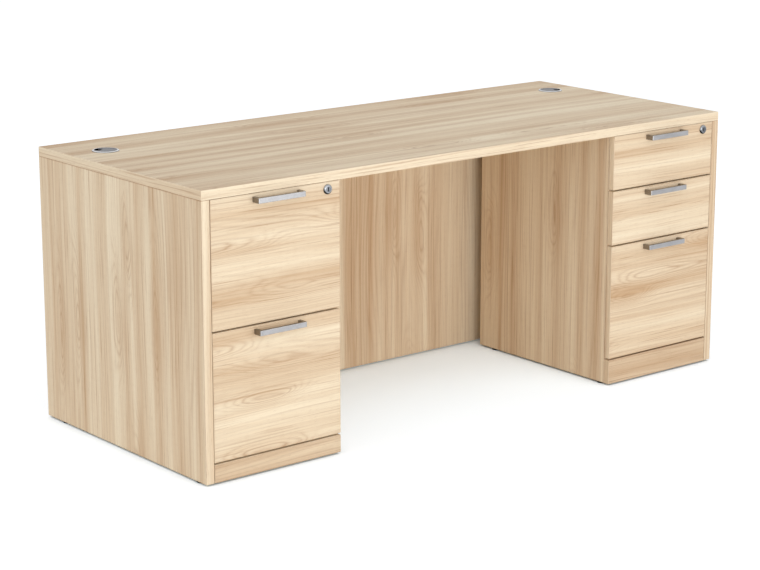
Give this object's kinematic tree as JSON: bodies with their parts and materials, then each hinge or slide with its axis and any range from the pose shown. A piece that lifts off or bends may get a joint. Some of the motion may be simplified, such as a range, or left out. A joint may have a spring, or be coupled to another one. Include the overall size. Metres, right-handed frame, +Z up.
{
  "type": "pedestal desk",
  "caption": "Pedestal desk with a laminate worktop, full-depth end panels, recessed modesty panel, file and box drawers on slides, bar pulls, cam locks and capped cable grommets.",
  "frame": {"origin": "on the floor under the middle of the desk's outline, pulls included", "axes": "+X to the sitter's right along the worktop, +Y from the sitter to the visitor, +Z up"},
  "size_m": [1.8288, 0.7886, 0.7565],
  "materials": {
    "laminate": "satin wood-grain laminate",
    "drawer_box": "matte foil-wrapped board",
    "pull_nickel": "satin nickel",
    "lock_chrome": "bright plated",
    "grommet_silver": "silver",
    "grommet_grey": "fine texture",
    "glide_nylon": "matte black",
    "dowel_beech": "raw beech",
    "zinc_steel": "zinc plated"
  },
  "bodies": {
    "desk": {"angle_brackets": "zinc_steel", "carcass_screws": "zinc_steel", "carcass_slides": "zinc_steel", "glide_inserts": "zinc_steel", "grommet_rings": "grommet_silver", "joint_dowels": "dowel_beech", "left_end_panel": "laminate", "left_inner_panel": "laminate", "left_plinth": "laminate", "levelling_glides": "glide_nylon", "lock_strikes": "zinc_steel", "modesty_panel": "laminate", "pedestal_backs": "laminate", "pedestal_bottoms": "laminate", "right_end_panel": "laminate", "right_inner_panel": "laminate", "right_plinth": "laminate", "worktop": "laminate"},
    "left_bottom_drawer": {"left_bottom_drawer_box_bottom": "drawer_box", "left_bottom_drawer_box_slides": "zinc_steel", "left_bottom_drawer_box_walls": "drawer_box", "left_bottom_drawer_file_rails": "zinc_steel", "left_bottom_drawer_front": "laminate", "left_bottom_drawer_pull": "pull_nickel", "left_bottom_drawer_screws": "zinc_steel"},
    "left_bottom_drawer_middle_slides": {"left_bottom_drawer_middle_slides": "zinc_steel"},
    "left_grommet_cap": {"left_grommet_cap": "grommet_grey"},
    "left_top_drawer": {"left_lock_housing": "lock_chrome", "left_top_drawer_box_bottom": "drawer_box", "left_top_drawer_box_slides": "zinc_steel", "left_top_drawer_box_walls": "drawer_box", "left_top_drawer_file_rails": "zinc_steel", "left_top_drawer_front": "laminate", "left_top_drawer_pull": "pull_nickel", "left_top_drawer_screws": "zinc_steel"},
    "left_lock_plug": {"left_lock_plug": "lock_chrome"},
    "left_top_drawer_middle_slides": {"left_top_drawer_middle_slides": "zinc_steel"},
    "right_bottom_drawer": {"right_bottom_drawer_box_bottom": "drawer_box", "right_bottom_drawer_box_slides": "zinc_steel", "right_bottom_drawer_box_walls": "drawer_box", "right_bottom_drawer_file_rails": "zinc_steel", "right_bottom_drawer_front": "laminate", "right_bottom_drawer_pull": "pull_nickel", "right_bottom_drawer_screws": "zinc_steel"},
    "right_bottom_drawer_middle_slides": {"right_bottom_drawer_middle_slides": "zinc_steel"},
    "right_grommet_cap": {"right_grommet_cap": "grommet_grey"},
    "right_top_drawer": {"right_lock_housing": "lock_chrome", "right_top_drawer_box_bottom": "drawer_box", "right_top_drawer_box_slides": "zinc_steel", "right_top_drawer_box_walls": "drawer_box", "right_top_drawer_front": "laminate", "right_top_drawer_pull": "pull_nickel", "right_top_drawer_screws": "zinc_steel"},
    "right_lock_plug": {"right_lock_plug": "lock_chrome"},
    "right_middle_drawer": {"right_middle_drawer_box_bottom": "drawer_box", "right_middle_drawer_box_slides": "zinc_steel", "right_middle_drawer_box_walls": "drawer_box", "right_middle_drawer_front": "laminate", "right_middle_drawer_pull": "pull_nickel", "right_middle_drawer_screws": "zinc_steel"}
  },
  "joints": [
    {"name": "left_top_drawer_slide", "type": "slide", "parent": "desk", "child": "left_top_drawer", "axis": [0, -1, 0], "range_m": [0, 0.5]},
    {"name": "left_top_drawer_middle_slides_follow", "type": "slide", "parent": "desk", "child": "left_top_drawer_middle_slides", "axis": [0, -1, 0], "range_m": [0, 0.25]},
    {"name": "left_bottom_drawer_slide", "type": "slide", "parent": "desk", "child": "left_bottom_drawer", "axis": [0, -1, 0], "range_m": [0, 0.5]},
    {"name": "left_bottom_drawer_middle_slides_follow", "type": "slide", "parent": "desk", "child": "left_bottom_drawer_middle_slides", "axis": [0, -1, 0], "range_m": [0, 0.25]},
    {"name": "right_top_drawer_slide", "type": "slide", "parent": "desk", "child": "right_top_drawer", "axis": [0, -1, 0], "range_m": [0, 0.375]},
    {"name": "right_middle_drawer_slide", "type": "slide", "parent": "desk", "child": "right_middle_drawer", "axis": [0, -1, 0], "range_m": [0, 0.375]},
    {"name": "right_bottom_drawer_slide", "type": "slide", "parent": "desk", "child": "right_bottom_drawer", "axis": [0, -1, 0], "range_m": [0, 0.5]},
    {"name": "right_bottom_drawer_middle_slides_follow", "type": "slide", "parent": "desk", "child": "right_bottom_drawer_middle_slides", "axis": [0, -1, 0], "range_m": [0, 0.25]},
    {"name": "left_lock_turn", "type": "hinge", "parent": "left_top_drawer", "child": "left_lock_plug", "pos_m": [-0.5289, -0.36775, 0.7092], "axis": [0, 1, 0], "range_deg": [0, 90]},
    {"name": "left_grommet_cap_turn", "type": "hinge", "parent": "desk", "child": "left_grommet_cap", "pos_m": [-0.8064, 0.23125, 0.7543], "axis": [0, 0, 1], "continuous": true},
    {"name": "right_lock_turn", "type": "hinge", "parent": "right_top_drawer", "child": "right_lock_plug", "pos_m": [0.8489, -0.36775, 0.7092], "axis": [0, 1, 0], "range_deg": [0, 90]},
    {"name": "right_grommet_cap_turn", "type": "hinge", "parent": "desk", "child": "right_grommet_cap", "pos_m": [0.8064, 0.23125, 0.7543], "axis": [0, 0, 1], "continuous": true}
  ],
  "couplings": [
    {"joint": "left_top_drawer_middle_slides_follow", "follows": "left_top_drawer_slide", "ratio": 0.5},
    {"joint": "left_bottom_drawer_middle_slides_follow", "follows": "left_bottom_drawer_slide", "ratio": 0.5},
    {"joint": "right_bottom_drawer_middle_slides_follow", "follows": "right_bottom_drawer_slide", "ratio": 0.5}
  ]
}
